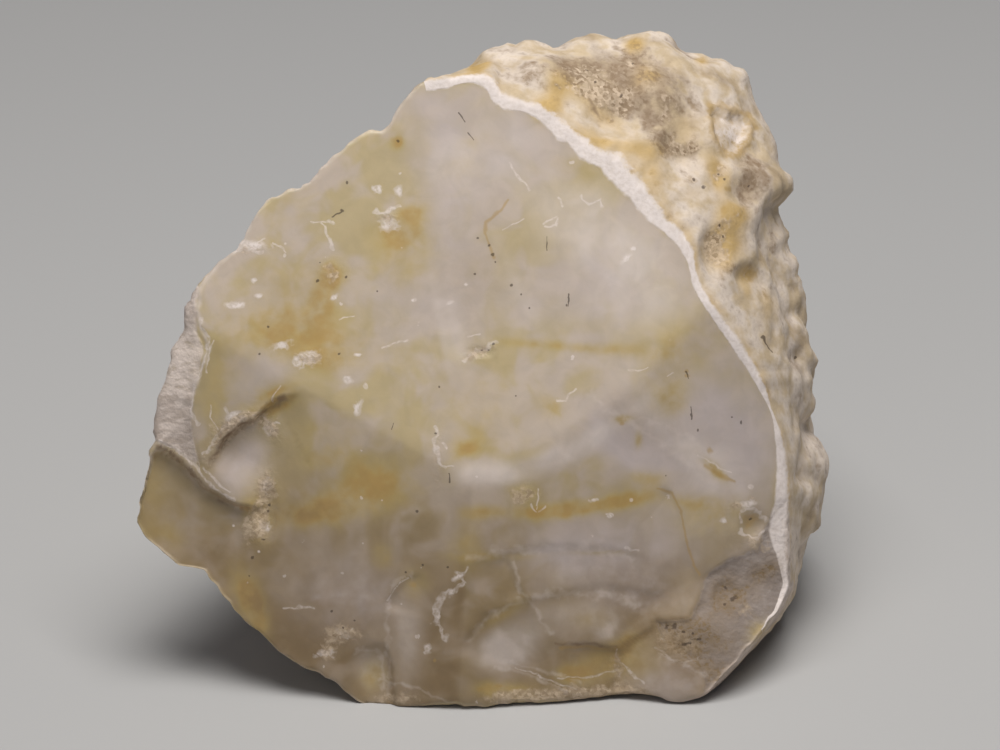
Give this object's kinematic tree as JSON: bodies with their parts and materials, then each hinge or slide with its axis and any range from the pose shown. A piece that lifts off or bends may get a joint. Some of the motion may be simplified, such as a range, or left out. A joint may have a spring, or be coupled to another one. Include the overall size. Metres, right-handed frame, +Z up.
{
  "type": "rough opal",
  "caption": "Broken piece of milky rough opal in a chalky, knobbly rind, standing on the flat spots of its underside with its fractured face to the front.",
  "frame": {"origin": "bottom centre of the stone's box, on the surface that it stands on", "axes": "+Z up, +X to the right across the broken face, +Y from the broken face towards the back"},
  "size_m": [0.0762, 0.0595, 0.0632],
  "materials": {
    "opal": "waxy milky opal, matt chalky rind"
  },
  "bodies": {
    "root": {"rough_opal": "opal"}
  },
  "joints": []
}
